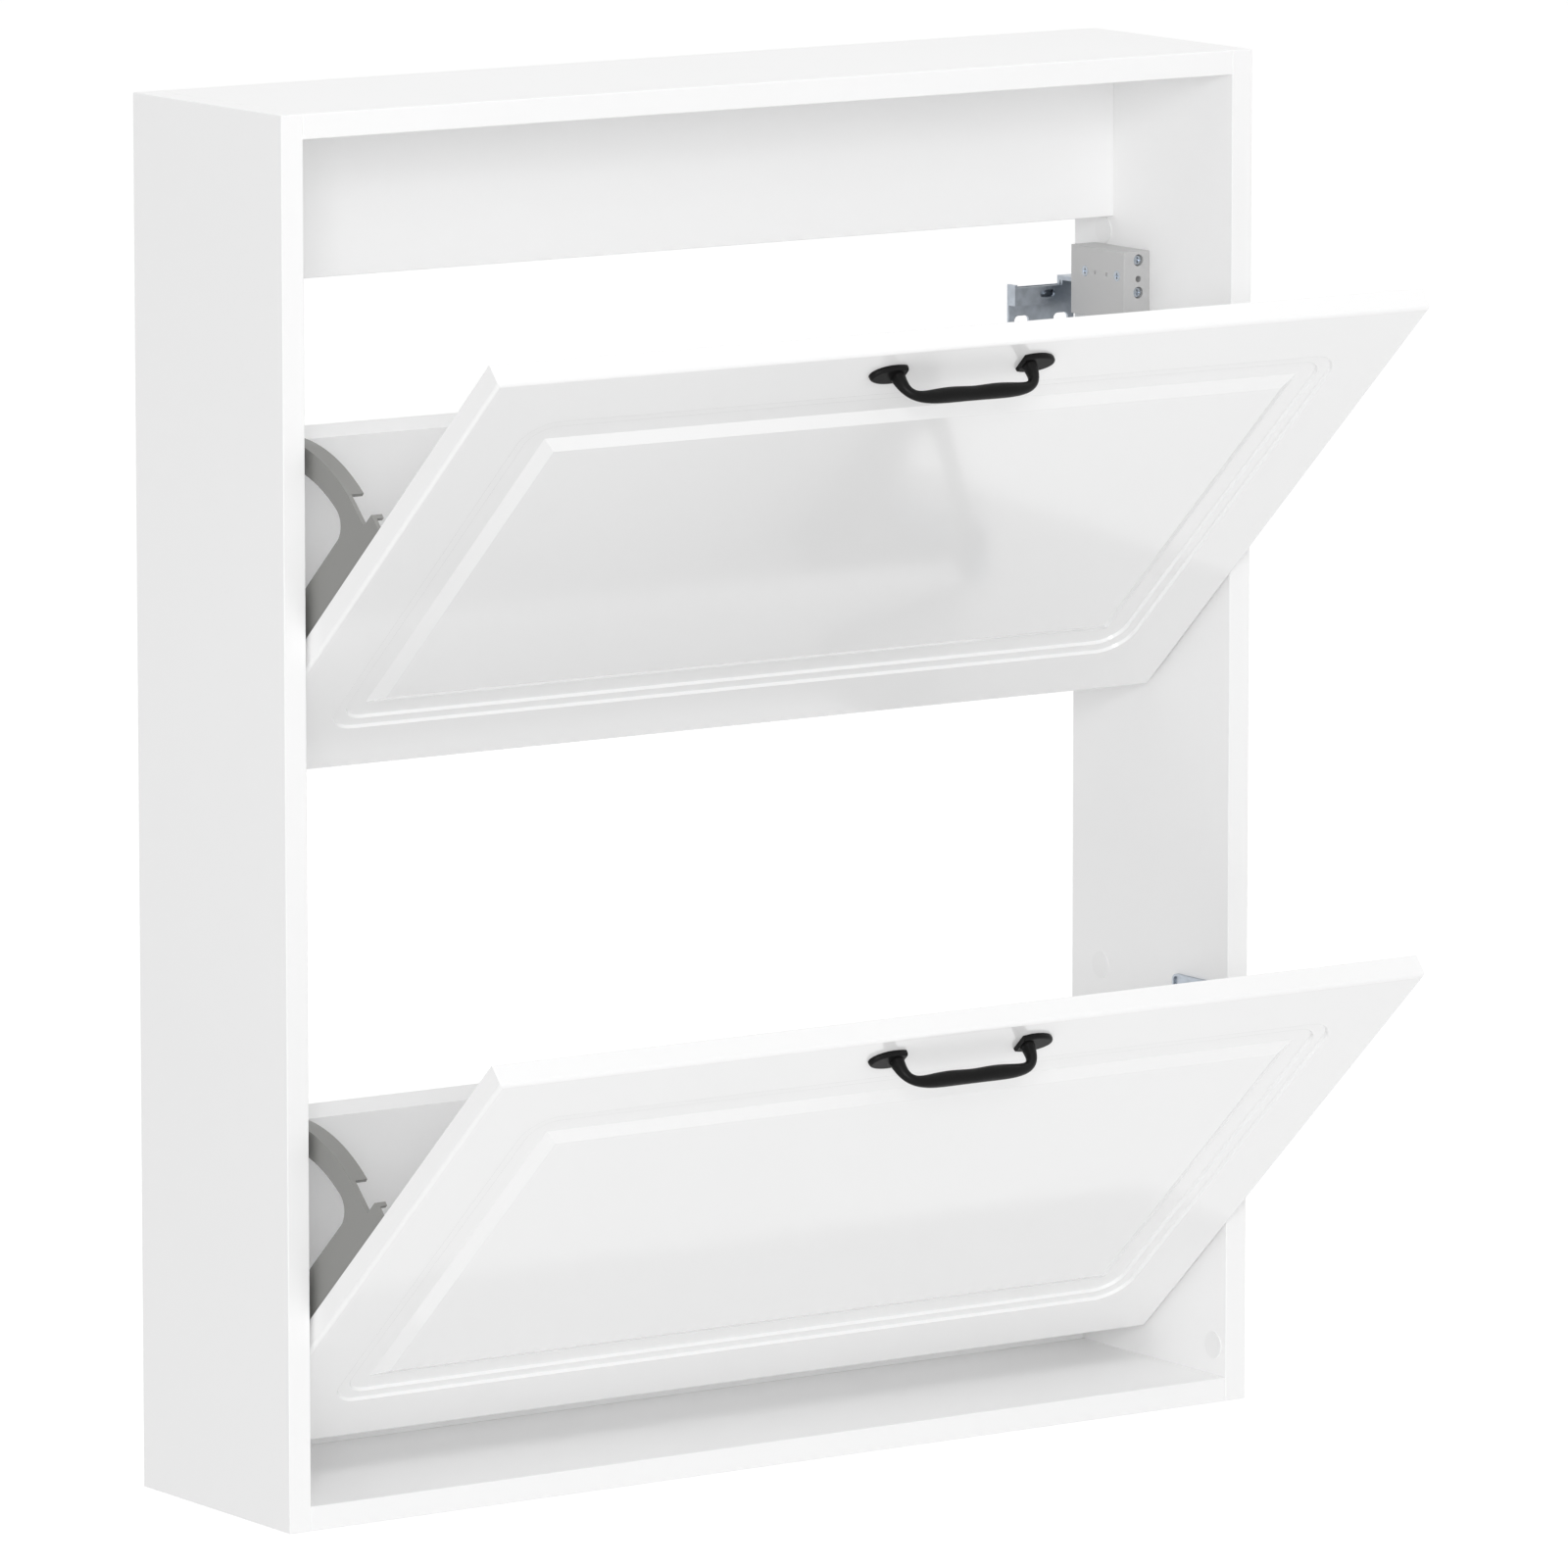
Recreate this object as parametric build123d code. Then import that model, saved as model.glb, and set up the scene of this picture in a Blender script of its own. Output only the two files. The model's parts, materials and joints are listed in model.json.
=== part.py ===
from build123d import *
import math
import os

# Wall-hung shoe cabinet with two tip-out flaps.
# Frame: origin midway between the wall plates' slots, on the wall plane. +X right, +Y to the wall, +Z up.
# Millimetres and degrees. The flaps are modelled open, as they rest on their stops.

# Driving dimensions: carcass boards
cabinet_width = 750.0
cabinet_height = 900.0
cabinet_depth = 176.0
board = 16.0
edge_round = 0.7
wall_slot_below_top = 192.0
upper_rail_height = 105.0
upper_rail_set_back = 28.0
lower_rail_height = 70.0

# Driving dimensions: board connectors
dowel_r = 4.0
dowel_length = 30.0
dowel_in_side = 10.0
cam_r = 7.5
cam_depth = 12.5
cam_inset = 24.0
cam_bolt_r = 3.0
cam_bolt_in_side = 10.0
connector_inset = 32.0
rail_dowel_spacing = 44.0
snug = 0.1

# Driving dimensions: round covers on the inner side faces
cover_r = 9.0
cover_thickness = 0.6
cover_front_inset = 14.0
cover_rear_inset = 33.0
cover_front_up = 36.0
cover_rear_up = 274.0
cover_below_top = 131.0

# Driving dimensions: flaps
flap_side_gap = 2.0
flap_gap_below = 13.5
flap_gap_above = 4.5
flap_thickness = 16.0
flap_front_round = 2.5
flap_back_round = 0.6
open_angle = 47.4
pivot_up = 104.0
pivot_back = 36.0

# Driving dimensions: routed border of the flap fronts
step_inset = 45.0
step_width = 8.0
step_depth = 2.0
step_slope_width = 1.0
step_round = 0.6
step_corner_r = 22.0
field_inset = 68.0
field_bevel = 9.5

# Driving dimensions: bow handle
handle_below_top = 22.0
handle_hole_spacing = 102.0
handle_stand_off = 20.5
handle_grip_r = 4.7
handle_bend_r = 3.3
handle_leg_r = 5.0
# Each bend: how far in from the leg, its share of the stand-off, the slope of the bar there
handle_bends = ((0.0, 0.0, 90.0), (1.0, 0.45, 77.0), (4.8, 0.83, 43.0), (14.0, 0.985, 6.0))
foot_tip = 19.5
foot_heel = 6.0
foot_width = 17.0
foot_thickness = 3.4
foot_round = 2.0
handle_screw_r = 2.0
handle_screw_head_r = 4.0
handle_screw_reach = 6.0

# Driving dimensions: side frames of the shoe bins
frame_gap = 4.0
frame_wall = 3.0
frame_arc_r = 126.0
frame_web = 16.5
frame_leg = 25.0
frame_leg_top = 138.0
frame_rim = 2.5
frame_rim_reach = 9.0
frame_arc_start = 19.0
notch_up = 126.0
notch_shoulder = 13.5
window_low = 24.0
window_front_r = 13.0
window_corner_r = 8.0
flange_reach = 18.0
flange_low = -60.0
flange_high = 120.0
flange_screw_inset = 20.0
lug_height = 2.5
lug_depth = 3.0
lug_reach = 5.0

# Driving dimensions: boards of the shoe bins, from the pivot
bin_top_up = 74.5
bin_top_back = 96.8
bin_lean = 23.0
bin_floor_up = -76.0
board_screw_shares = (0.25, 0.75)

# Driving dimensions: pivot brackets, pins and stops
bracket_front = -16.0
bracket_rear = 22.0
bracket_up = 147.0
bracket_down = 11.0
bracket_reach = 3.0
bracket_steel = 1.5
bracket_corner_r = 4.0
bracket_screw_spread = 22.0
bracket_screw_ups = (34.0, 116.0)
pivot_r = 4.0
pivot_clearance = 0.06
boss_r = 8.5
boss_inner_reach = 4.0
collar_thickness = 1.0
collar_rim = 3.0
cap_thickness = 2.7
cap_floor = 0.9
running_gap = 0.3
stop_arm = 72.0
stop_pin_r = 3.0
stop_buffer_r = 7.0
stop_head_r = 5.0
stop_overlap = 2.0

# Driving dimensions: hangers and wall plates
housing_width = 21.0
housing_depth = 60.0
housing_height = 46.0
housing_low = 6.0
housing_rear = 25.0
housing_round = 0.8
housing_wall = 3.0
pocket_depth = 11.0
adjuster_r = 3.1
adjuster_hole_r = 3.9
adjuster_shank_r = 2.5
adjuster_head = 6.0
adjuster_recess = 1.5
adjuster_upper = 40.0
adjuster_lower = 18.5
adjuster_from_side = 9.3
vent_r = 2.2
vent_up = 27.5
housing_screw_up = 29.5
housing_screw_front = 8.0
housing_screw_spacing = 36.0
dimple_r = 1.5
dimple_depth = 1.0
dimple_spacing = 13.0
plate_steel = 2.0
plate_width = 53.0
plate_from_side = 2.0
plate_below = 14.0
plate_shelf_up = 11.0
plate_stand_off = 9.0
plate_leaf_up = 23.0
plate_tab = 2.0
plate_window_length = 12.0
plate_window_height = 5.0
slot_spacing = 32.0
slot_length = 12.0
slot_width = 7.0
hook_width = 14.0
hook_steel = 3.0
hook_drop = 12.0
hook_seat_up = 26.0

# Driving dimensions: wood screws
screw_r = 1.75
screw_head_r = 3.5
screw_head = 2.2
screw_length = 14.0
board_screw_length = 28.0
recess_arm = 2.0
recess_slit = 0.5
recess_depth = 1.3

# Derived places
front_y = -cabinet_depth
top_z = wall_slot_below_top
bottom_z = top_z - cabinet_height
side_inner = cabinet_width / 2 - board
compartment = (cabinet_height - 2 * board) / 2
flap_height = compartment - flap_gap_below - flap_gap_above
flap_half = side_inner - flap_side_gap
flap_front = -pivot_back
flap_back = flap_front + flap_thickness
flap_low = -pivot_up
flap_top = flap_height - pivot_up
pivot_y = front_y + pivot_back
pivot_z = {}
for level, flap in enumerate(("lower", "upper")):
    pivot_z[flap] = bottom_z + board + level * compartment + flap_gap_below + pivot_up
plate_outer = side_inner - frame_gap
plate_inner = plate_outer - frame_wall
rim_end = plate_inner - frame_rim_reach
bracket_web = side_inner - bracket_steel
collar_face = bracket_web - collar_thickness
boss_outer = collar_face - running_gap
boss_inner = plate_inner - boss_inner_reach
leg_edge = flap_back + frame_leg
stop_offset = leg_edge + stop_buffer_r + running_gap
stop_angle = math.degrees(math.asin(stop_offset / stop_arm))
hanger_x = side_inner - adjuster_from_side
hook_low_x = hanger_x - hook_width / 2
hook_high_x = hanger_x + hook_width / 2
plate_centre = side_inner - plate_from_side - plate_width / 2
leaf_front = -plate_stand_off
leaf_rear = leaf_front + plate_steel


def block(low, high):
    """A box between two corners."""
    size = [b - a for a, b in zip(low, high)]
    return Pos(*low) * Box(*size, align=(Align.MIN, Align.MIN, Align.MIN))


def rod_x(radius, start, end, y, z):
    """A round bar along X."""
    bar = Cylinder(radius, abs(end - start), align=(Align.CENTER, Align.CENTER, Align.MIN))
    return Pos(min(start, end), y, z) * Rot(0, 90, 0) * bar


def rod_y(radius, start, end, x, z):
    """A round bar along Y."""
    bar = Cylinder(radius, abs(end - start), align=(Align.CENTER, Align.CENTER, Align.MIN))
    return Pos(x, max(start, end), z) * Rot(90, 0, 0) * bar


def rod_z(radius, start, end, x, y):
    """A round bar along Z."""
    bar = Cylinder(radius, abs(end - start), align=(Align.CENTER, Align.CENTER, Align.MIN))
    return Pos(x, y, min(start, end)) * bar


def polar(radius, angle):
    """A point (back, up) at an angle from upright, leaning back."""
    return (radius * math.sin(math.radians(angle)), radius * math.cos(math.radians(angle)))


def both_sides(right):
    """The right-hand piece and its mirror image."""
    return [right, mirror(right, about=Plane.YZ)]


def opened(shape, flap):
    """Moves a shape from the closed flap's pivot frame to the open flap in the cabinet."""
    return Pos(0, pivot_y, pivot_z[flap]) * Rot(open_angle, 0, 0) * shape


# Board connectors: each site is (y, z) at the end of a board, with the face that its cam lock enters
cam_sites = []
dowel_sites = []
for middle in (bottom_z + board / 2, top_z - board / 2):
    for y in (front_y + connector_inset, -connector_inset):
        cam_sites.append((y, middle, "under"))
    dowel_sites.append((-cabinet_depth / 2, middle))
upper_rail_y = -upper_rail_set_back - board / 2
upper_rail_z = top_z - board - upper_rail_height / 2
lower_rail_y = -board / 2
lower_rail_z = bottom_z + board + lower_rail_height / 2
for y, z in ((upper_rail_y, upper_rail_z), (lower_rail_y, lower_rail_z)):
    cam_sites.append((y, z, "rear"))
    for step in (-rail_dowel_spacing / 2, rail_dowel_spacing / 2):
        dowel_sites.append((y, z + step))
cam_x = side_inner - cam_inset


def dowel(y, z, extra=0.0):
    """A dowel half in the side panel, or its bore when extra is the clearance."""
    outer = side_inner + dowel_in_side + extra
    return rod_x(dowel_r + extra, outer - dowel_length - 2 * extra, outer, y, z)


def cam_bolt(y, z, extra=0.0):
    """A cam bolt from the side panel to its cam lock, or its bore."""
    inner = cam_x - cam_bolt_r - extra
    return rod_x(cam_bolt_r + extra, inner, side_inner + cam_bolt_in_side + extra, y, z)


def cam_lock(y, z, face, extra=0.0):
    """A cam lock sunk into a board's underside or rear face, or its bore."""
    depth = cam_depth + extra
    if face == "under":
        low = z - board / 2
        return rod_z(cam_r + extra, low, low + depth, cam_x, y)
    rear = y + board / 2
    return rod_y(cam_r + extra, rear, rear - depth, cam_x, z)


def connector_bores():
    """All bores for dowels, cam bolts and cam locks at the right-hand ends, mirrored to the left."""
    right = [dowel(y, z, snug) for y, z in dowel_sites]
    right += [cam_bolt(y, z, snug) for y, z, face in cam_sites]
    right += [cam_lock(y, z, face, snug) for y, z, face in cam_sites]
    return [bore for one in right for bore in both_sides(one)]


# Bracket and hanger screws, which also give the side panels their pilot holes
bracket_middle = (bracket_front + bracket_rear) / 2
bracket_screw_sites = []
for up in bracket_screw_ups:
    for side in (-1, 1):
        bracket_screw_sites.append((bracket_middle + side * bracket_screw_spread / 2, up))
housing_front = -housing_rear - housing_depth
housing_screw_y = [housing_front + housing_screw_front + i * housing_screw_spacing for i in (0, 1)]
housing_inner = side_inner - housing_width
housing_screw_z = housing_low + housing_screw_up


def cross_recess():
    """The two arms of a screw's cross recess, cut along +Z from the origin."""
    arms = ((recess_arm, recess_slit), (recess_slit, recess_arm))
    return [block((-wide, -tall, 0), (wide, tall, recess_depth)) for wide, tall in arms]


def side_screw(head_face, y, z, length, extra=0.0):
    """A cross-head screw along +X into the right side panel, with its head on head_face, or its hole."""
    screw = rod_x(screw_r + extra, head_face, head_face + length + extra, y, z)
    screw += rod_x(screw_head_r + extra, head_face - screw_head, head_face, y, z)
    if not extra:
        for arm in cross_recess():
            screw -= Pos(head_face - screw_head, y, z) * Rot(0, 90, 0) * arm
    return screw


def bracket_screws(flap, extra=0.0):
    sites = [(pivot_y + back, pivot_z[flap] + up) for back, up in bracket_screw_sites]
    return [side_screw(bracket_web, y, z, screw_length, extra) for y, z in sites]


def housing_screws(extra=0.0):
    head_face = housing_inner + screw_head
    length = side_inner - head_face + screw_length
    return [side_screw(head_face, y, housing_screw_z, length, extra) for y in housing_screw_y]


# Carcass boards
def side_panel():
    """The right side panel with its bores and pilot holes."""
    panel = block((side_inner, front_y, bottom_z), (side_inner + board, 0, top_z))
    panel = fillet(panel.edges(), edge_round)
    for y, z in dowel_sites:
        panel -= dowel(y, z, snug)
    for y, z, face in cam_sites:
        panel -= cam_bolt(y, z, snug)
    pilots = bracket_screws("lower", snug) + bracket_screws("upper", snug) + housing_screws(snug)
    for pilot in pilots:
        panel -= pilot
    return panel


def cross_board(low, high):
    """A board between the side panels, with eased edges and its connector bores."""
    piece = block(low, high)
    piece = fillet(piece.edges(), edge_round)
    for bore in connector_bores():
        piece -= bore
    return piece


def carcass_boards():
    right = side_panel()
    upper_rear = -upper_rail_set_back
    upper_low = top_z - board - upper_rail_height
    lower_high = bottom_z + board + lower_rail_height
    return {
        "right_side_panel": right,
        "left_side_panel": mirror(right, about=Plane.YZ),
        "top_panel": cross_board((-side_inner, front_y, top_z - board), (side_inner, 0, top_z)),
        "bottom_panel": cross_board((-side_inner, front_y, bottom_z), (side_inner, 0, bottom_z + board)),
        "upper_back_rail": cross_board(
            (-side_inner, upper_rear - board, upper_low), (side_inner, upper_rear, top_z - board)
        ),
        "lower_back_rail": cross_board(
            (-side_inner, -board, bottom_z + board), (side_inner, 0, lower_high)
        ),
    }


def connectors():
    dowels = [piece for y, z in dowel_sites for piece in both_sides(dowel(y, z))]
    bolts = [piece for y, z, face in cam_sites for piece in both_sides(cam_bolt(y, z))]
    locks = []
    for y, z, face in cam_sites:
        locks += both_sides(cam_lock(y, z, face) - cam_bolt(y, z, snug))
    return {
        "board_dowels": Compound(children=dowels),
        "cam_bolts": Compound(children=bolts),
        "cam_locks": Compound(children=locks),
    }


def cover_caps():
    """Flat round covers stuck on the inner side faces."""
    sites = (
        (front_y + cover_front_inset, bottom_z + cover_front_up),
        (-cover_rear_inset, bottom_z + cover_rear_up),
        (-cover_rear_inset, top_z - cover_below_top),
    )
    caps = []
    for y, z in sites:
        caps += both_sides(rod_x(cover_r, side_inner - cover_thickness, side_inner, y, z))
    return Compound(children=caps)


# Hangers and wall plates
def hanger_housing():
    """Plastic hanger box on the right side panel, with a rear pocket for the hook."""
    low = (housing_inner, housing_front, housing_low)
    high = (side_inner, -housing_rear, housing_low + housing_height)
    box = block(low, high)
    box = fillet(box.edges().filter_by(Axis.Y) + box.edges().filter_by(Axis.Z), housing_round)
    box -= block(
        (hook_low_x - running_gap, -housing_rear - pocket_depth, housing_low + housing_wall),
        (hook_high_x + running_gap, -housing_rear, housing_low + housing_height - housing_wall),
    )
    for up in (adjuster_upper, adjuster_lower):
        z = housing_low + up
        head_end = housing_front + adjuster_recess + adjuster_head
        box -= rod_y(adjuster_hole_r, housing_front, head_end, hanger_x, z)
        box -= rod_y(adjuster_shank_r + snug, head_end, -housing_rear, hanger_x, z)
    box -= rod_y(vent_r, housing_front, housing_front + adjuster_head, hanger_x, housing_low + vent_up)
    for screw in housing_screws(snug):
        box -= screw
    dimple_middle = sum(housing_screw_y) / 2
    for y in (dimple_middle - dimple_spacing / 2, dimple_middle + dimple_spacing / 2):
        box -= rod_x(dimple_r, housing_inner, housing_inner + dimple_depth, y, housing_screw_z)
    return box


def hanger_adjusters():
    """The two adjusting screws of the right hanger, with cross recesses."""
    screws = []
    for up in (adjuster_upper, adjuster_lower):
        z = housing_low + up
        face = housing_front + adjuster_recess
        screw = rod_y(adjuster_r, face, face + adjuster_head, hanger_x, z)
        shank_end = -housing_rear - pocket_depth / 2
        screw += rod_y(adjuster_shank_r, face + adjuster_head, shank_end, hanger_x, z)
        for arm in cross_recess():
            screw -= Pos(hanger_x, face, z) * Rot(-90, 0, 0) * arm
        screws.append(screw)
    return screws


def hanger_hook():
    """Steel hook: a carriage in the housing pocket, an arm over the wall plate and a lip behind it."""
    seat = hook_seat_up
    lip_rear = (leaf_rear - plate_steel) / 2 + hook_steel / 2
    pocket_floor = -housing_rear - pocket_depth + running_gap
    carriage_low = housing_low + housing_wall + running_gap
    carriage_high = housing_low + housing_height - housing_wall - running_gap
    profile = make_face(
        Polyline(
            (pocket_floor, carriage_low),
            (-housing_rear, carriage_low),
            (-housing_rear, seat),
            (lip_rear - hook_steel, seat),
            (lip_rear - hook_steel, seat - hook_drop),
            (lip_rear, seat - hook_drop),
            (lip_rear, seat + hook_steel),
            (-housing_rear, seat + hook_steel),
            (-housing_rear, carriage_high),
            (pocket_floor, carriage_high),
            close=True,
        )
    )
    hook = extrude(Plane.YZ.offset(hook_low_x) * profile, amount=hook_width)
    for up in (adjuster_upper, adjuster_lower):
        hook -= rod_y(adjuster_shank_r + snug, pocket_floor, -housing_rear, hanger_x, housing_low + up)
    return hook


def wall_plate():
    """Bent steel wall plate: a strip with two slots on the wall, a shelf and an upright leaf in front."""
    low_x = plate_centre - plate_width / 2
    high_x = plate_centre + plate_width / 2
    shelf_top = plate_shelf_up + plate_steel
    profile = make_face(
        Polyline(
            (0, -plate_below),
            (0, plate_leaf_up),
            (-plate_steel, plate_leaf_up),
            (-plate_steel, shelf_top),
            (leaf_rear, shelf_top),
            (leaf_rear, hook_seat_up),
            (leaf_front, hook_seat_up),
            (leaf_front, plate_shelf_up),
            (-plate_steel, plate_shelf_up),
            (-plate_steel, -plate_below),
            close=True,
        )
    )
    plate = extrude(Plane.YZ.offset(low_x) * profile, amount=plate_width)
    tab_end = low_x + plate_steel
    plate -= block((tab_end, leaf_front, plate_leaf_up), (hook_low_x, leaf_rear, hook_seat_up))
    plate -= block((low_x, leaf_front, plate_leaf_up + plate_tab), (tab_end, leaf_rear, hook_seat_up))
    plate -= block((hook_high_x, leaf_front, plate_leaf_up), (high_x, leaf_rear, hook_seat_up))
    plate += block((low_x, leaf_rear, shelf_top), (tab_end, 0, plate_leaf_up + plate_tab))
    window_z = (shelf_top + plate_leaf_up) / 2
    window = SlotOverall(plate_window_length, plate_window_height)
    plate -= Pos(plate_centre, leaf_rear, window_z) * Rot(90, 0, 0) * extrude(window, amount=plate_steel)
    for side in (-1, 1):
        slot = extrude(SlotOverall(slot_length, slot_width), amount=plate_steel)
        plate -= Pos(plate_centre + side * slot_spacing / 2, 0, 0) * Rot(90, 0, 0) * slot
    return plate


def hangers():
    nodes = {}
    for name, shape in (
        ("hanger_housing", hanger_housing()),
        ("hanger_hook", hanger_hook()),
        ("wall_plate", wall_plate()),
    ):
        nodes[f"{name}_right"], nodes[f"{name}_left"] = both_sides(shape)
    adjusters = [piece for screw in hanger_adjusters() for piece in both_sides(screw)]
    fixings = [piece for screw in housing_screws() for piece in both_sides(screw)]
    nodes["hanger_adjusting_screws"] = Compound(children=adjusters)
    nodes["hanger_fixing_screws"] = Compound(children=fixings)
    return nodes


# Pivot brackets, pins and stops on the side panels
def stop_place(flap):
    back, up = polar(stop_arm, stop_angle)
    return pivot_y + back, pivot_z[flap] + up


def pivot_bracket(flap):
    """Pressed steel tray on the right side panel that carries the pivot and the stop."""
    middle_up = (bracket_up - bracket_down) / 2
    centre = Pos(side_inner, pivot_y + bracket_middle, pivot_z[flap] + middle_up) * Rot(0, -90, 0)
    height = bracket_up + bracket_down
    width = bracket_rear - bracket_front
    outer = extrude(RectangleRounded(height, width, bracket_corner_r), amount=bracket_reach)
    inside = RectangleRounded(
        height - 2 * bracket_steel, width - 2 * bracket_steel, bracket_corner_r - bracket_steel
    )
    hollow = extrude(Pos(0, 0, bracket_steel) * inside, amount=bracket_reach)
    tray = centre * (outer - hollow)
    tray -= rod_x(pivot_r + snug, bracket_web, side_inner, pivot_y, pivot_z[flap])
    stop_y, stop_z = stop_place(flap)
    tray -= rod_x(stop_pin_r + snug, bracket_web, side_inner, stop_y, stop_z)
    for screw in bracket_screws(flap, snug):
        tray -= screw
    return tray


def pivot_pin(flap):
    """Pivot pin with a collar on the bracket, through the frame's boss to its retaining cap."""
    z = pivot_z[flap]
    end = boss_inner - running_gap - cap_thickness + cap_floor
    pin = rod_x(pivot_r, end, side_inner, pivot_y, z)
    return pin + rod_x(pivot_r + collar_rim, collar_face, bracket_web, pivot_y, z)


def pivot_cap(flap):
    """Push-on cap that keeps the frame on its pin."""
    z = pivot_z[flap]
    high = boss_inner - running_gap
    low = high - cap_thickness
    cap = rod_x(pivot_r + collar_rim, low, high, pivot_y, z)
    return cap - rod_x(pivot_r + snug / 2, low + cap_floor, high, pivot_y, z)


buffer_end = plate_inner - stop_overlap


def stop_pin(flap):
    """Stop pin with a collar on the bracket and a head that keeps the buffer on."""
    y, z = stop_place(flap)
    pin = rod_x(stop_pin_r, buffer_end, side_inner, y, z)
    pin += rod_x(stop_head_r, collar_face, bracket_web, y, z)
    return pin + rod_x(stop_head_r, buffer_end - collar_thickness, buffer_end, y, z)


def stop_buffer(flap):
    y, z = stop_place(flap)
    return rod_x(stop_buffer_r, buffer_end, collar_face, y, z) - rod_x(
        stop_pin_r + snug / 2, buffer_end, collar_face, y, z
    )


def pivots():
    nodes = {}
    groups = {
        "pivot_pins": pivot_pin,
        "pivot_caps": pivot_cap,
        "stop_pins": stop_pin,
        "stop_buffers": stop_buffer,
    }
    for flap in pivot_z:
        right, left = both_sides(pivot_bracket(flap))
        nodes[f"{flap}_pivot_bracket_right"] = right
        nodes[f"{flap}_pivot_bracket_left"] = left
    for name, make in groups.items():
        nodes[name] = Compound(children=[piece for flap in pivot_z for piece in both_sides(make(flap))])
    right_screws = bracket_screws("lower") + bracket_screws("upper")
    screws = [piece for screw in right_screws for piece in both_sides(screw)]
    nodes["bracket_screws"] = Compound(children=screws)
    return nodes


# Flaps: modelled closed about the pivot, with Y to the rear and Z up
flange_middle = (flange_low + flange_high) / 2
frame_screw_ups = (flange_low + flange_screw_inset, flange_middle, flange_high - flange_screw_inset)
frame_screw_x = plate_inner - flange_reach / 2
flange_face = flap_back + frame_rim
handle_up = flap_top - handle_below_top
flap_middle = (flap_low + flap_top) / 2


def frame_screw(x, up, extra=0.0):
    """A screw through the frame's flange into the back of the flap, or its hole."""
    end = flap_back - screw_length + frame_rim
    shank = rod_y(screw_r + extra, end - extra, flange_face, x, up)
    return shank + rod_y(screw_head_r + extra, flange_face, flange_face + screw_head, x, up)


def handle_screw(x, extra=0.0):
    """A screw from the back of the flap into a handle leg, or its hole."""
    end = flap_front - handle_screw_reach - extra
    shank = rod_y(handle_screw_r + extra, end, flap_back, x, handle_up)
    return shank + rod_y(handle_screw_head_r + extra, flap_back, flap_back + screw_head, x, handle_up)


def frame_screws(extra=0.0):
    return [piece for up in frame_screw_ups for piece in both_sides(frame_screw(frame_screw_x, up, extra))]


def handle_screws(extra=0.0):
    return both_sides(handle_screw(handle_hole_spacing / 2, extra))


def border(inset, corner_r):
    """A rectangle set in from the edges of the flap's front."""
    wide = 2 * (flap_half - inset)
    tall = flap_height - 2 * inset
    if corner_r:
        return RectangleRounded(wide, tall, corner_r)
    return Rectangle(wide, tall)


def edge_inset(edge):
    """How far the middle of an edge lies in from the nearest side of the flap."""
    middle = edge.center()
    return min(flap_half - abs(middle.X), flap_height / 2 - abs(middle.Z - flap_middle))


def flap_panel():
    """Flap board with a rounded front edge, a stepped routed border and a raised field."""
    panel = block((-flap_half, flap_front, flap_low), (flap_half, flap_back, flap_top))
    panel = fillet(panel.faces().sort_by(Axis.Y)[0].edges(), flap_front_round)
    panel = fillet(panel.faces().sort_by(Axis.Y)[-1].edges(), flap_back_round)
    face = Plane((0, flap_front, flap_middle), x_dir=(1, 0, 0), z_dir=(0, -1, 0))
    floor_depth = 2 * step_depth
    step_slope = math.degrees(math.atan(step_slope_width / step_depth))
    for level in (0, 1):
        outline = border(step_inset + level * step_width, step_corner_r - level * step_width / 2)
        panel -= extrude(face.offset(-level * step_depth) * outline, amount=-step_depth, taper=step_slope)
    bevel_slope = math.degrees(math.atan(field_bevel / floor_depth))
    base = face.offset(-floor_depth) * border(field_inset, 0)
    panel += extrude(base, amount=floor_depth, taper=bevel_slope)
    for depth, inset in ((0.0, step_inset), (step_depth, step_inset + step_width)):
        height = flap_front + depth
        edges = panel.edges().filter_by_position(Axis.Y, height - snug, height + snug)
        rim = [edge for edge in edges if inset - snug < edge_inset(edge) < inset + step_corner_r / 2]
        panel = fillet(rim, step_round)
    for hole in frame_screws(snug) + handle_screws(snug):
        panel -= hole
    return panel


def handle_foot():
    """Leaf-shaped foot, rounded outwards and cut straight inwards, with the leg at the origin."""
    centre = foot_heel / 2
    leaf = Pos(centre, 0) * Ellipse(foot_tip - centre, foot_width / 2)
    leaf -= Pos(-foot_heel - foot_tip, 0) * Rectangle(2 * foot_tip, 2 * foot_width)
    pad = extrude(leaf, amount=foot_thickness)
    rim = pad.faces().sort_by(Axis.Z)[-1].edges().filter_by(GeomType.ELLIPSE)
    return fillet(rim, foot_round)


def handle():
    """Bow handle: a swelling grip on two curved legs with leaf-shaped feet."""
    leg = handle_hole_spacing / 2
    out = handle_stand_off
    middle_r = (handle_leg_r + handle_bend_r) / 2
    radii = (handle_leg_r, middle_r, handle_bend_r, (handle_bend_r + handle_grip_r) / 2)
    half = []
    for (inward, share, slope), r in zip(handle_bends, radii):
        half.append((leg - inward, out * share, slope, r))
    stations = half + [(0.0, out, 0.0, handle_grip_r)]
    stations += [(-x, z, -slope, r) for x, z, slope, r in reversed(half)]
    rings = []
    for x, z, slope, r in stations:
        along = (-math.cos(math.radians(slope)), 0, math.sin(math.radians(slope)))
        rings.append(Plane((x, 0, z), x_dir=(0, 1, 0), z_dir=along) * Circle(r))
    bow = loft(rings)
    bow -= block((-2 * leg, -leg, -out), (2 * leg, leg, 0))
    for turn in (0, 180):
        bow += Rot(0, 0, turn) * Pos(leg, 0, 0) * handle_foot()
        bow -= Rot(0, 0, turn) * rod_z(handle_screw_r + snug, 0, handle_screw_reach + snug, leg, 0)
    return Plane((0, flap_front, handle_up), x_dir=(1, 0, 0), z_dir=(0, -1, 0)) * bow


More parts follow.
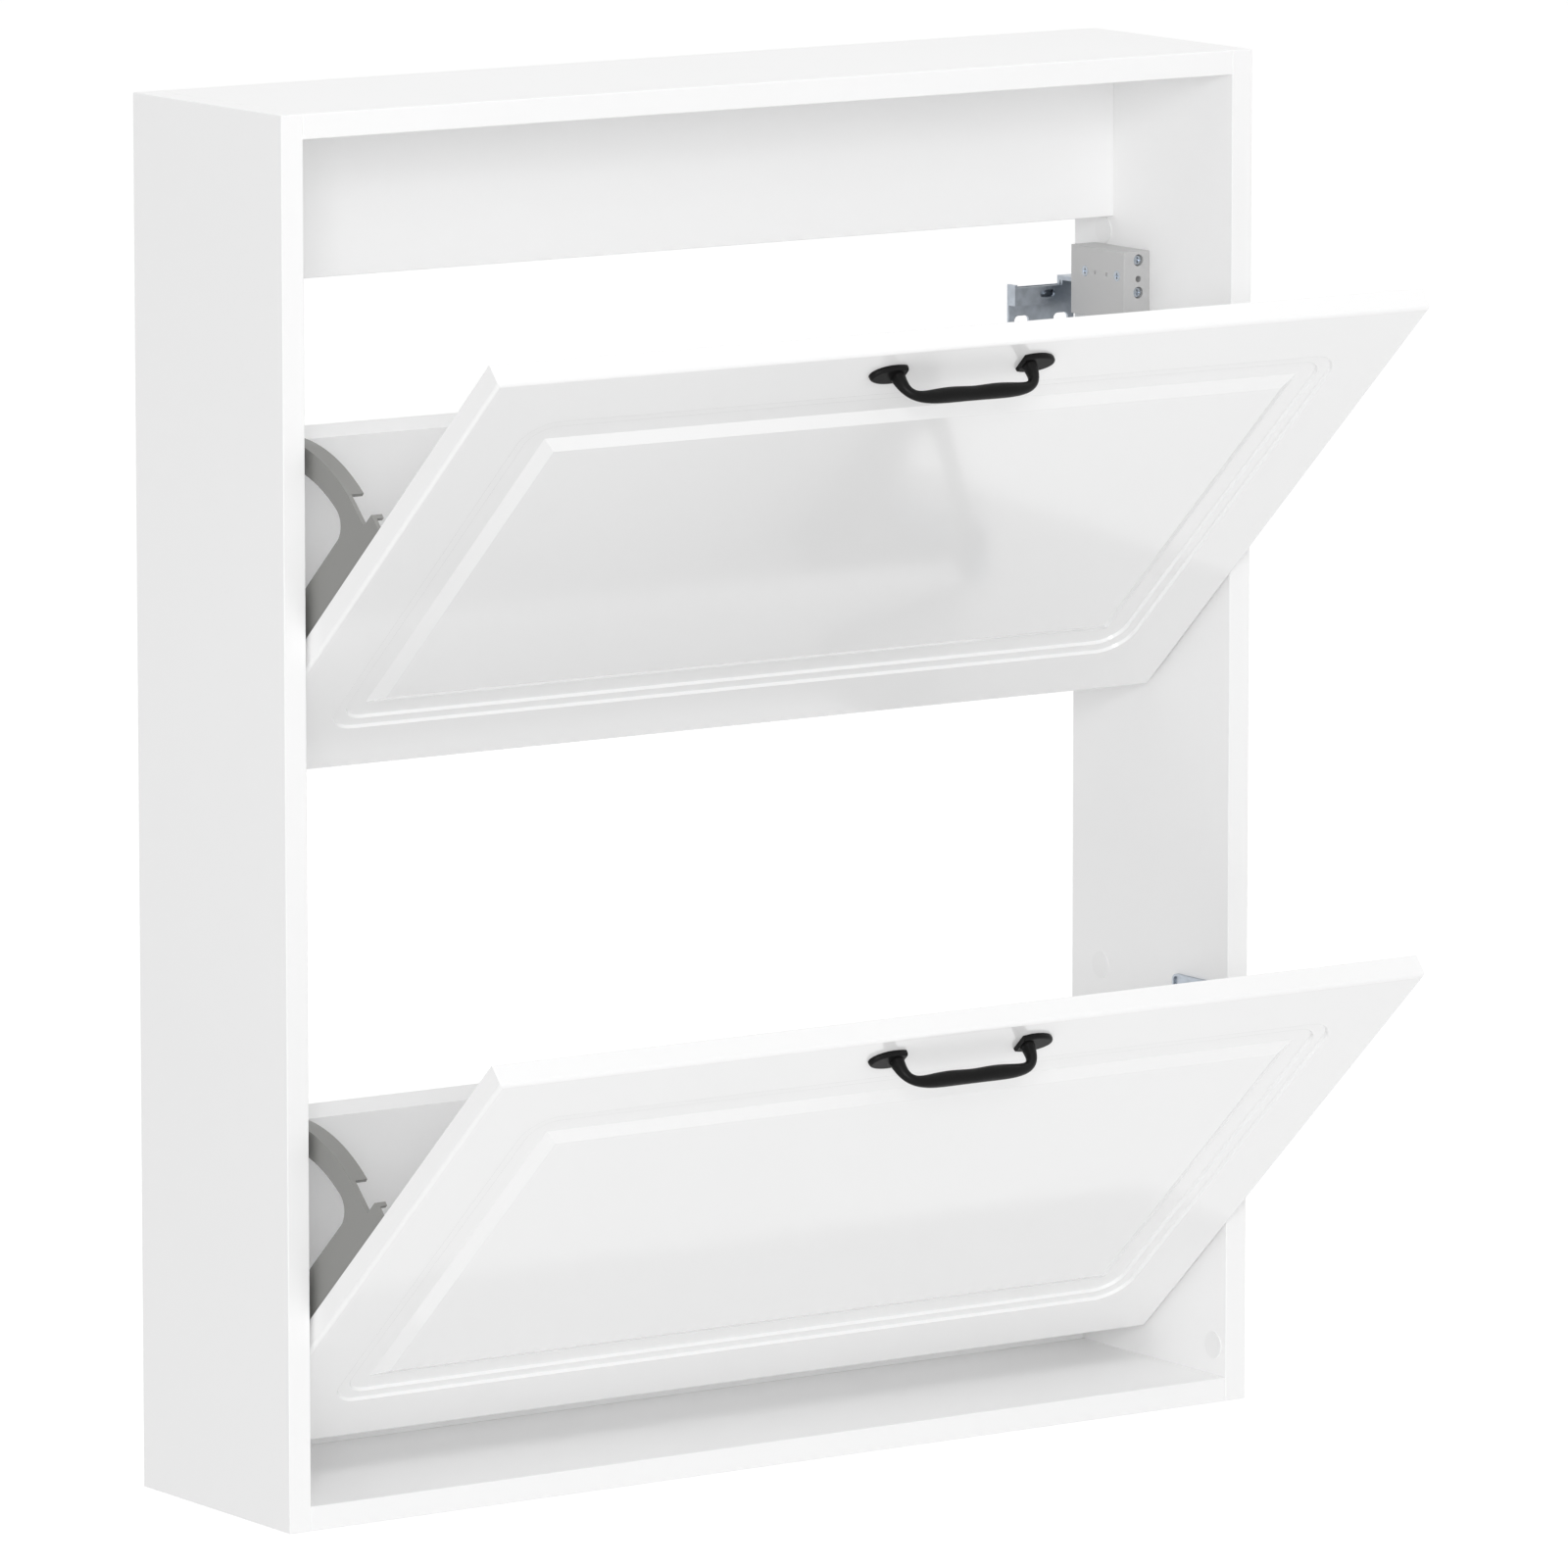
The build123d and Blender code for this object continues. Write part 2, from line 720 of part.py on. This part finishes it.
def on_bin_board(shape):
    """Moves a shape from the rear board's own frame (Y through its thickness, Z down from its top)."""
    return Pos(0, bin_top_back, bin_top_up) * Rot(-bin_lean, 0, 0) * shape


bin_slope = math.radians(bin_lean)
bin_drop = (bin_top_up - bin_floor_up) / math.cos(bin_slope)
bin_floor_back = bin_top_back - (bin_top_up - bin_floor_up) * math.tan(bin_slope)
bin_floor_end = bin_floor_back + board / math.cos(bin_slope)
frame_bottom = bin_floor_up - board - frame_rim


def rear_line(offset, up):
    """The point (back, up) on a line that runs along the rear board, offset behind its front face."""
    back = bin_top_back + offset / math.cos(bin_slope) + (up - bin_top_up) * math.tan(bin_slope)
    return (back, up)


def board_screw_sites():
    """Screw centres (back, up) through the side frame into the ends of the bin boards."""
    sites = []
    for share in board_screw_shares:
        sites.append(rear_line(board / 2, bin_top_up - share * (bin_top_up - bin_floor_up)))
    sites.append(((flap_back + bin_floor_end) / 2, bin_floor_up - board / 2))
    return sites


def board_screws(extra=0.0):
    """Screws, heads flush in the frame, into the right ends of the bin boards."""
    screws = []
    for back, up in board_screw_sites():
        start = plate_inner - board_screw_length - extra
        screw = rod_x(screw_r + extra, start, plate_outer, back, up)
        screws.append(screw + rod_x(screw_head_r + extra, plate_outer - screw_head, plate_outer, back, up))
    return screws


def rear_board():
    """Sloping board at the back of the shoe bin, cut level where it stands on the floor board."""
    drop = bin_drop + board * math.tan(bin_slope)
    piece = on_bin_board(block((-plate_inner, 0, -drop), (plate_inner, board, 0)))
    piece -= block((-plate_inner, -drop, bin_floor_up - drop), (plate_inner, drop, bin_floor_up))
    for screw in board_screws(snug):
        for hole in both_sides(screw):
            piece -= hole
    return piece


def floor_board():
    """Narrow board that closes the bottom of the shoe bin."""
    low = (-plate_inner, flap_back, bin_floor_up - board)
    piece = block(low, (plate_inner, bin_floor_end, bin_floor_up))
    for screw in board_screws(snug):
        for hole in both_sides(screw):
            piece -= hole
    return piece


def arc_end_angle():
    """Angle at which the frame's outer arc meets the rim behind the rear board."""
    back = rear_line(board + frame_rim, 0.0)[0]
    return bin_lean + math.degrees(math.asin(back * math.cos(bin_slope) / frame_arc_r))


def window():
    """Opening in the frame: the stop buffer meets its front edge closed and its rear edge open."""
    inner_r = frame_arc_r - frame_web
    back, up = polar(stop_arm, stop_angle + open_angle)
    rest = stop_buffer_r + running_gap
    line_back = back + rest / math.cos(bin_slope)

    def rear_edge(height):
        return (line_back + (height - up) * math.tan(bin_slope), height)

    shape = Polygon(
        (leg_edge, window_low),
        (leg_edge, frame_arc_r),
        rear_edge(frame_arc_r),
        rear_edge(window_low),
        align=None,
    )
    shape = shape & Circle(inner_r)
    front_top = (leg_edge, math.sqrt(inner_r**2 - leg_edge**2))
    corner = shape.vertices().sort_by_distance(front_top)[0]
    shape = fillet(corner, window_front_r)
    lows = shape.vertices().filter_by_position(Axis.Y, window_low - snug, window_low + snug)
    return fillet(lows, window_corner_r)


def side_frame():
    """Right side frame: a plate with an arched rim, a flange on the flap and ribs that hold the boards."""
    start_angle = math.degrees(math.asin(frame_arc_start / frame_arc_r))
    end_angle = arc_end_angle()
    notch_back = flap_back + notch_shoulder
    floor_rim = rear_line(board + frame_rim, bin_floor_up)
    outline = make_face(
        Polyline(
            polar(frame_arc_r, start_angle),
            (notch_back, notch_up),
            (notch_back, frame_leg_top),
            (flap_back, frame_leg_top),
            (flap_back, frame_bottom),
            (floor_rim[0], frame_bottom),
            floor_rim,
            polar(frame_arc_r, end_angle),
        )
        + ThreePointArc(
            polar(frame_arc_r, start_angle),
            polar(frame_arc_r, (start_angle + end_angle) / 2),
            polar(frame_arc_r, end_angle),
        )
    )
    frame = extrude(Plane.YZ.offset(plate_inner) * (outline - window()), amount=frame_wall)

    rim = Circle(frame_arc_r) - Circle(frame_arc_r - frame_rim)
    board_angle = math.degrees(math.atan2(bin_top_back, bin_top_up) - frame_rim / frame_arc_r)
    far = 2 * frame_arc_r
    wedge = Polygon(
        (0, 0),
        polar(far, start_angle),
        polar(far, (start_angle + board_angle) / 2),
        polar(far, board_angle),
        align=None,
    )
    frame += extrude(Plane.YZ.offset(rim_end) * (rim & wedge), amount=frame_rim_reach)

    lug_low = (plate_inner - lug_reach, notch_back - lug_depth, frame_leg_top - lug_height)
    frame += block(lug_low, (plate_inner, notch_back, frame_leg_top))
    flange_start = (plate_inner - flange_reach, flap_back, flange_low)
    frame += block(flange_start, (plate_inner, flange_face, flange_high))
    rib_low = -(bin_drop - board)
    frame += on_bin_board(block((rim_end, -frame_rim, rib_low), (plate_inner, 0, -board)))
    frame += on_bin_board(block((rim_end, board, rib_low), (plate_inner, board + frame_rim, -board)))
    floor_lip = (rim_end, flap_back, frame_bottom)
    frame += block(floor_lip, (plate_inner, floor_rim[0], frame_bottom + frame_rim))
    frame += block((rim_end, bin_floor_end, frame_bottom), (plate_inner, floor_rim[0], bin_floor_up))
    boss = rod_x(boss_r, boss_inner, boss_outer, 0, 0)
    frame += boss
    frame -= rod_x(pivot_r + pivot_clearance, boss_inner, boss_outer, 0, 0)
    for hole in board_screws(snug):
        frame -= hole
    for up in frame_screw_ups:
        frame -= frame_screw(frame_screw_x, up, snug)
    return frame


def flap_nodes():
    frame_right, frame_left = both_sides(side_frame())
    screws = [piece for screw in board_screws() for piece in both_sides(screw)]
    closed = {
        "flap_panel": flap_panel(),
        "handle": handle(),
        "handle_screws": Compound(children=handle_screws()),
        "side_frame_right": frame_right,
        "side_frame_left": frame_left,
        "rear_board": rear_board(),
        "floor_board": floor_board(),
        "frame_screws": Compound(children=frame_screws()),
        "board_screws": Compound(children=screws),
    }
    return {f"{flap}_{name}": opened(shape, flap) for flap in pivot_z for name, shape in closed.items()}


os.makedirs("parts", exist_ok=True)
nodes = carcass_boards()
nodes.update(connectors())
nodes["cover_caps"] = cover_caps()
nodes.update(hangers())
nodes.update(pivots())
nodes.update(flap_nodes())
for name, shape in nodes.items():
    export_step(shape, f"parts/{name}.step")
print(len(nodes), "nodes")
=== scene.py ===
import json
import math

import bpy
from mathutils import Matrix, Vector


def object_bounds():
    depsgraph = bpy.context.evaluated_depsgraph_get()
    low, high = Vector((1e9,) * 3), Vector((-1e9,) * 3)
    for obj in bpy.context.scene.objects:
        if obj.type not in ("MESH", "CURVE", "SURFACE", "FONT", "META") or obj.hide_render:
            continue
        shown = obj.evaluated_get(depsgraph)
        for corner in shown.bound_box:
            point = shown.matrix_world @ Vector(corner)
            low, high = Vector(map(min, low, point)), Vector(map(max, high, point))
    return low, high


# Looks for the wall-hung shoe cabinet: finishes, floor, studio light and camera. Metres and watts.

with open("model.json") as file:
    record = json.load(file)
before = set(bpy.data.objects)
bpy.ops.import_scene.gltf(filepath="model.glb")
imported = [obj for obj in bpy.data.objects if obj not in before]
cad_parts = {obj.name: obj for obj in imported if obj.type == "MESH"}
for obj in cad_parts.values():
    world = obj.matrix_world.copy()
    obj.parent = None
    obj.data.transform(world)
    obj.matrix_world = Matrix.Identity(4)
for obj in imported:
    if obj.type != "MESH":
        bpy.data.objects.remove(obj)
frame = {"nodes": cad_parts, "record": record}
cad_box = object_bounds()

# Camera, fitted to the corners of the carcass and the flaps. The sensor's width is in millimetres.
IMAGE_SIZE = 1600
FOCAL_PIXELS = 12952.0
SENSOR = 36.0
CAMERA_PLACE = Vector((-4.558, -6.824, 1.002))
CAMERA_YAW = math.radians(34.456)
CAMERA_PITCH = math.radians(8.907)
CLIP_START = 0.1
CLIP_END = 200.0

# Floor and world: each has a level that lights the part and a brighter one that is only looked at
FLOOR_DROP = 0.35
FLOOR_SIZE = 60.0
FLOOR_GREY = 0.87
FLOOR_GLOW = 0.4
WORLD_LIGHT = 0.62
WORLD_SEEN = 1.0

# Softboxes, each with its place, edge length and power
SOFTBOX_AIM = Vector((0.0, -0.1, -0.25))
SOFTBOXES = {
    "camera_softbox": ((-4.75, -7.1, 1.7), 2.4, 200.0),
    "front_softbox": ((-2.4, -7.4, 3.5), 2.0, 45.0),
    "top_softbox": ((0.0, -0.7, 4.0), 3.0, 45.0),
}

# How often light is followed between surfaces, enough for white boards that face each other
DIFFUSE_BOUNCES = 12


def new_material(name, colour, roughness, metallic=0.0, specular=0.5):
    """A principled material with its plain values set on the shader's own sockets."""
    material = bpy.data.materials.new(name)
    material.use_nodes = True
    shader = material.node_tree.nodes["Principled BSDF"]
    shader.inputs["Base Color"].default_value = (*colour, 1.0)
    shader.inputs["Roughness"].default_value = roughness
    shader.inputs["Metallic"].default_value = metallic
    shader.inputs["Specular IOR Level"].default_value = specular
    return material, shader


def add_noise(material, scale, detail=3.0):
    """A noise texture in the object's own coordinates."""
    nodes = material.node_tree.nodes
    place = nodes.new("ShaderNodeTexCoord")
    noise = nodes.new("ShaderNodeTexNoise")
    noise.inputs["Scale"].default_value = scale
    noise.inputs["Detail"].default_value = detail
    material.node_tree.links.new(place.outputs["Object"], noise.inputs["Vector"])
    return noise


def add_bump(material, shader, scale, strength, distance=0.0002):
    """A fine uneven surface."""
    noise = add_noise(material, scale)
    bump = material.node_tree.nodes.new("ShaderNodeBump")
    bump.inputs["Strength"].default_value = strength
    bump.inputs["Distance"].default_value = distance
    material.node_tree.links.new(noise.outputs["Fac"], bump.inputs["Height"])
    material.node_tree.links.new(bump.outputs["Normal"], shader.inputs["Normal"])


def add_mottle(material, shader, colour, spread, scale, dark_at=0.3, light_at=0.7):
    """Base colour that drifts a little darker and lighter than the given colour."""
    noise = add_noise(material, scale)
    ramp = material.node_tree.nodes.new("ShaderNodeValToRGB")
    stops = ((dark_at, 1 - spread), (light_at, 1 + spread))
    for element, (position, factor) in zip(ramp.color_ramp.elements, stops):
        element.position = position
        element.color = (*[channel * factor for channel in colour], 1.0)
    material.node_tree.links.new(noise.outputs["Fac"], ramp.inputs["Fac"])
    material.node_tree.links.new(ramp.outputs["Color"], shader.inputs["Base Color"])


def white_board():
    colour = (0.94, 0.94, 0.94)
    material, shader = new_material("white_board", colour, roughness=0.4, specular=0.1)
    add_mottle(material, shader, colour, spread=0.006, scale=3.0)
    return material


def gloss_front():
    colour = (0.93, 0.93, 0.93)
    material, shader = new_material("gloss_front", colour, roughness=0.12)
    shader.inputs["Coat Weight"].default_value = 0.5
    shader.inputs["Coat Roughness"].default_value = 0.07
    add_mottle(material, shader, colour, spread=0.006, scale=3.0)
    return material


def frame_plastic():
    material, shader = new_material("frame_plastic", (0.25, 0.25, 0.24), roughness=0.42)
    add_bump(material, shader, scale=900.0, strength=0.12)
    return material


def hanger_plastic():
    material, shader = new_material("hanger_plastic", (0.54, 0.54, 0.54), roughness=0.4)
    add_bump(material, shader, scale=900.0, strength=0.1)
    return material


def white_plastic():
    material, shader = new_material("white_plastic", (0.9, 0.9, 0.9), roughness=0.35)
    add_bump(material, shader, scale=900.0, strength=0.06)
    return material


def galvanised_steel():
    colour = (0.45, 0.49, 0.54)
    material, shader = new_material("galvanised_steel", colour, roughness=0.34, metallic=1.0)
    add_mottle(material, shader, colour, spread=0.12, scale=160.0)
    return material


def zinc_steel():
    colour = (0.46, 0.5, 0.55)
    material, shader = new_material("zinc_steel", colour, roughness=0.25, metallic=1.0)
    add_mottle(material, shader, colour, spread=0.08, scale=220.0)
    return material


def black_metal():
    material, shader = new_material("black_metal", (0.005, 0.005, 0.005), roughness=0.36, specular=0.13)
    add_bump(material, shader, scale=700.0, strength=0.2)
    return material


def rubber():
    material, shader = new_material("rubber", (0.03, 0.03, 0.03), roughness=0.75)
    add_bump(material, shader, scale=900.0, strength=0.2)
    return material


def dowel_wood():
    colour = (0.6, 0.42, 0.24)
    material, shader = new_material("dowel_wood", colour, roughness=0.6)
    add_mottle(material, shader, colour, spread=0.12, scale=90.0)
    return material


def dress_nodes():
    """Gives each CAD node the finish of its material slot."""
    makers = (
        white_board,
        gloss_front,
        frame_plastic,
        hanger_plastic,
        white_plastic,
        galvanised_steel,
        zinc_steel,
        black_metal,
        rubber,
        dowel_wood,
    )
    finishes = {make.__name__: make() for make in makers}
    for row in frame["record"]["subparts"]:
        mesh = frame["nodes"][row["node"]].data
        mesh.materials.clear()
        mesh.materials.append(finishes[row["material_slot"]])


def seen_directly(tree):
    """A socket that is 1 for rays from the camera, a mirror or glass, and 0 for light on other surfaces."""
    path = tree.nodes.new("ShaderNodeLightPath")
    seen = path.outputs["Is Camera Ray"]
    for ray in ("Is Glossy Ray", "Is Transmission Ray"):
        larger = tree.nodes.new("ShaderNodeMath")
        larger.operation = "MAXIMUM"
        tree.links.new(seen, larger.inputs[0])
        tree.links.new(path.outputs[ray], larger.inputs[1])
        seen = larger.outputs[0]
    return seen


def add_floor():
    """A plain pale floor below the hanging cabinet."""
    mesh = bpy.data.meshes.new("floor")
    half = FLOOR_SIZE / 2
    height = cad_box[0].z - FLOOR_DROP
    corners = [(x * half, y * half, height) for x, y in ((-1, -1), (1, -1), (1, 1), (-1, 1))]
    mesh.from_pydata(corners, [], [(0, 1, 2, 3)])
    floor = bpy.data.objects.new("floor", mesh)
    bpy.context.scene.collection.objects.link(floor)
    material, shader = new_material("floor", (FLOOR_GREY, FLOOR_GREY, FLOOR_GREY), roughness=0.6)
    tree = material.node_tree
    glow = tree.nodes.new("ShaderNodeMath")
    glow.operation = "MULTIPLY"
    glow.inputs[1].default_value = FLOOR_GLOW
    tree.links.new(seen_directly(tree), glow.inputs[0])
    shader.inputs["Emission Color"].default_value = (1.0, 1.0, 1.0, 1.0)
    tree.links.new(glow.outputs[0], shader.inputs["Emission Strength"])
    mesh.materials.append(material)


def add_world():
    world = bpy.data.worlds.new("studio")
    bpy.context.scene.world = world
    world.use_nodes = True
    tree = world.node_tree
    background = tree.nodes["Background"]
    background.inputs["Color"].default_value = (1.0, 1.0, 1.0, 1.0)
    level = tree.nodes.new("ShaderNodeMapRange")
    level.inputs["To Min"].default_value = WORLD_LIGHT
    level.inputs["To Max"].default_value = WORLD_SEEN
    tree.links.new(seen_directly(tree), level.inputs["Value"])
    tree.links.new(level.outputs["Result"], background.inputs["Strength"])


def aimed(place, direction):
    """The matrix of a camera or light at a place, looking along a direction."""
    return Matrix.Translation(place) @ direction.to_track_quat("-Z", "Y").to_matrix().to_4x4()


def add_softboxes():
    for name, (place, edge, power) in SOFTBOXES.items():
        data = bpy.data.lights.new(name, "AREA")
        data.size = edge
        data.energy = power
        light = bpy.data.objects.new(name, data)
        bpy.context.scene.collection.objects.link(light)
        light.matrix_world = aimed(Vector(place), SOFTBOX_AIM - Vector(place))
        light.visible_camera = False


def add_camera():
    data = bpy.data.cameras.new("camera")
    data.sensor_width = SENSOR
    data.lens = FOCAL_PIXELS / IMAGE_SIZE * SENSOR
    data.clip_start = CLIP_START
    data.clip_end = CLIP_END
    camera = bpy.data.objects.new("camera", data)
    bpy.context.scene.collection.objects.link(camera)
    level = Vector((math.sin(CAMERA_YAW), math.cos(CAMERA_YAW), 0.0))
    down = Vector((0.0, 0.0, -1.0))
    direction = level * math.cos(CAMERA_PITCH) + down * math.sin(CAMERA_PITCH)
    camera.matrix_world = aimed(CAMERA_PLACE, direction)
    bpy.context.scene.camera = camera


dress_nodes()
add_floor()
add_world()
add_softboxes()
add_camera()
bpy.context.scene.view_settings.view_transform = "Standard"
bpy.context.scene.cycles.diffuse_bounces = DIFFUSE_BOUNCES
